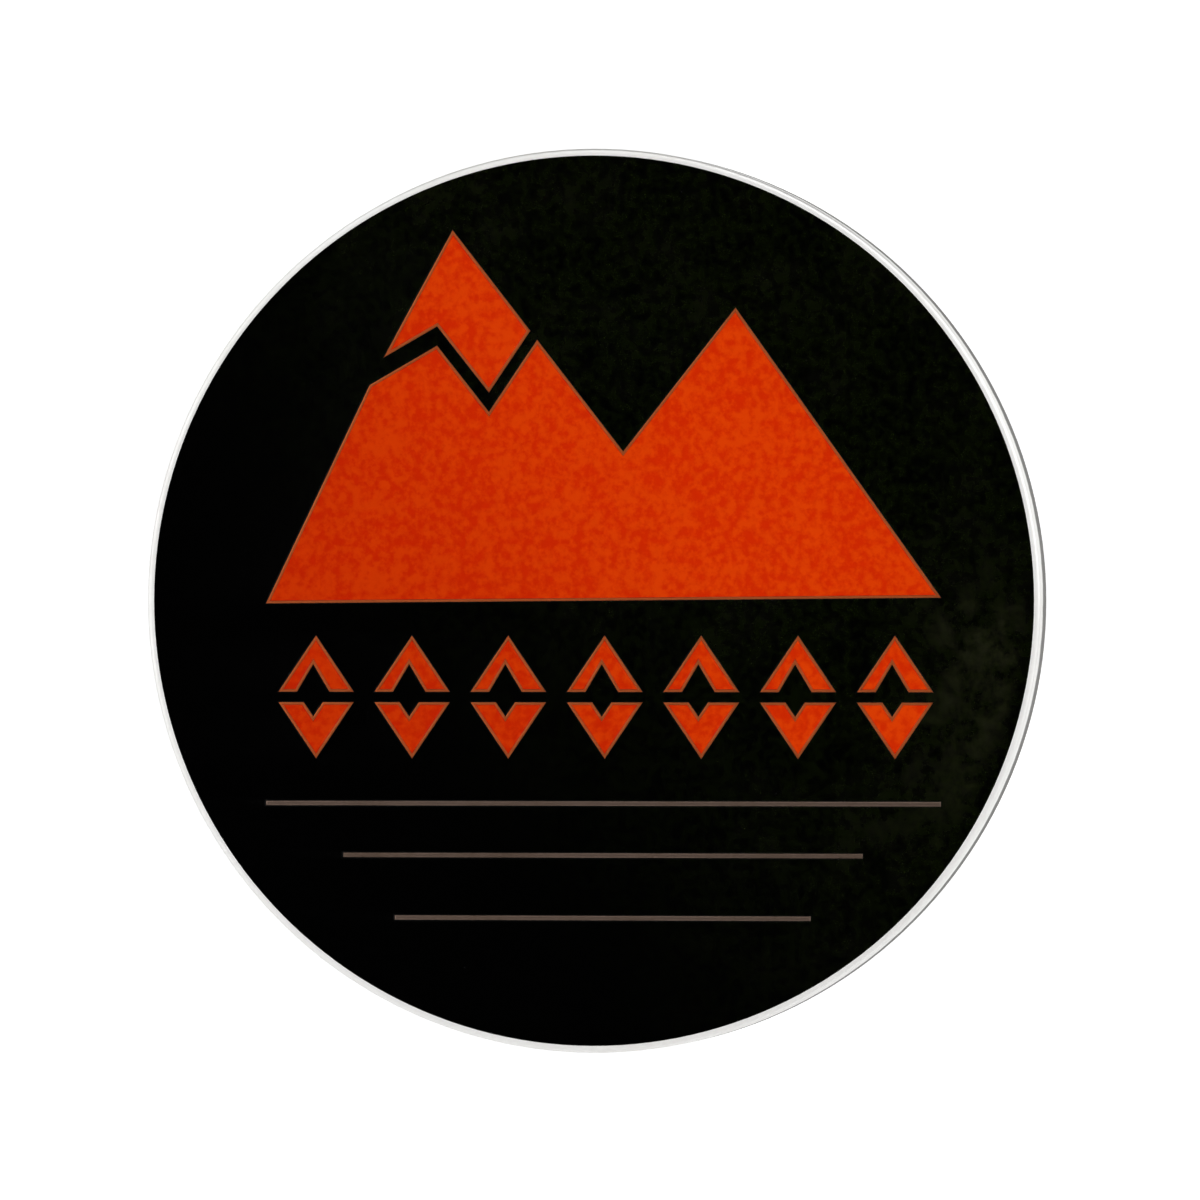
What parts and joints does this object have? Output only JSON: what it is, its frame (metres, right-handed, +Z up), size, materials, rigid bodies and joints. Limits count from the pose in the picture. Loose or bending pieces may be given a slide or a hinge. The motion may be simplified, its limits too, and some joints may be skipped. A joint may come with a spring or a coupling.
{
  "type": "enamel lapel pin",
  "caption": "Round black enamel lapel pin with an orange mountain range, a row of split lozenges, thin metal rules and butterfly clutches on its back.",
  "frame": {"origin": "centre of the disc on its back plane, which lies against the cloth", "axes": "+Z up as worn, +Y backwards along the posts, the enamelled face looks along -Y"},
  "size_m": [0.038, 0.0102, 0.038],
  "materials": {
    "plated_metal": "bright nickel plate",
    "black_enamel": "satin",
    "orange_enamel": "satin",
    "post_metal": "bright nickel plate",
    "solder": "dull",
    "clutch_brass": "satin"
  },
  "bodies": {
    "pin": {"pin_body": "plated_metal", "enamel_black_field": "black_enamel", "enamel_snow_cap": "orange_enamel", "enamel_mountains": "orange_enamel", "enamel_lozenge_1_upper": "orange_enamel", "enamel_lozenge_2_upper": "orange_enamel", "enamel_lozenge_3_upper": "orange_enamel", "enamel_lozenge_4_upper": "orange_enamel", "enamel_lozenge_5_upper": "orange_enamel", "enamel_lozenge_6_upper": "orange_enamel", "enamel_lozenge_7_upper": "orange_enamel", "enamel_lozenge_1_lower": "orange_enamel", "enamel_lozenge_2_lower": "orange_enamel", "enamel_lozenge_3_lower": "orange_enamel", "enamel_lozenge_4_lower": "orange_enamel", "enamel_lozenge_5_lower": "orange_enamel", "enamel_lozenge_6_lower": "orange_enamel", "enamel_lozenge_7_lower": "orange_enamel", "left_post": "post_metal", "left_solder": "solder", "right_post": "post_metal", "right_solder": "solder"},
    "left_cap": {"left_clutch_cap": "clutch_brass"},
    "left_bridge": {"left_clutch_bridge": "clutch_brass"},
    "left_wing_inner": {"left_wing_inner": "clutch_brass"},
    "left_wing_outer": {"left_wing_outer": "clutch_brass"},
    "right_cap": {"right_clutch_cap": "clutch_brass"},
    "right_bridge": {"right_clutch_bridge": "clutch_brass"},
    "right_wing_inner": {"right_wing_inner": "clutch_brass"},
    "right_wing_outer": {"right_wing_outer": "clutch_brass"}
  },
  "joints": [
    {"name": "left_clutch_slide", "type": "slide", "parent": "pin", "child": "left_cap", "axis": [0, 1, 0], "range_m": [-0.0011, 0.009]},
    {"name": "left_clutch_turn", "type": "hinge", "parent": "left_cap", "child": "left_bridge", "pos_m": [-0.01, 0.0015, 0.003], "axis": [0, 1, 0], "continuous": true},
    {"name": "left_wing_inner_squeeze", "type": "hinge", "parent": "left_bridge", "child": "left_wing_inner", "pos_m": [-0.0087, 0.0038, 0.003], "axis": [0, 0, 1], "range_deg": [0, 12], "stiffness_Nm_per_rad": 0.001},
    {"name": "left_wing_outer_squeeze", "type": "hinge", "parent": "left_bridge", "child": "left_wing_outer", "pos_m": [-0.0113, 0.0038, 0.003], "axis": [0, 0, -1], "range_deg": [0, 12], "stiffness_Nm_per_rad": 0.001},
    {"name": "right_clutch_slide", "type": "slide", "parent": "pin", "child": "right_cap", "axis": [0, 1, 0], "range_m": [-0.0011, 0.009]},
    {"name": "right_clutch_turn", "type": "hinge", "parent": "right_cap", "child": "right_bridge", "pos_m": [0.01, 0.0015, 0.003], "axis": [0, 1, 0], "continuous": true},
    {"name": "right_wing_inner_squeeze", "type": "hinge", "parent": "right_bridge", "child": "right_wing_inner", "pos_m": [0.0087, 0.0038, 0.003], "axis": [0, 0, -1], "range_deg": [0, 12], "stiffness_Nm_per_rad": 0.001},
    {"name": "right_wing_outer_squeeze", "type": "hinge", "parent": "right_bridge", "child": "right_wing_outer", "pos_m": [0.0113, 0.0038, 0.003], "axis": [0, 0, 1], "range_deg": [0, 12], "stiffness_Nm_per_rad": 0.001}
  ],
  "couplings": [
    {"joint": "left_wing_inner_squeeze", "follows": "left_wing_outer_squeeze", "ratio": 1},
    {"joint": "right_wing_inner_squeeze", "follows": "right_wing_outer_squeeze", "ratio": 1}
  ]
}
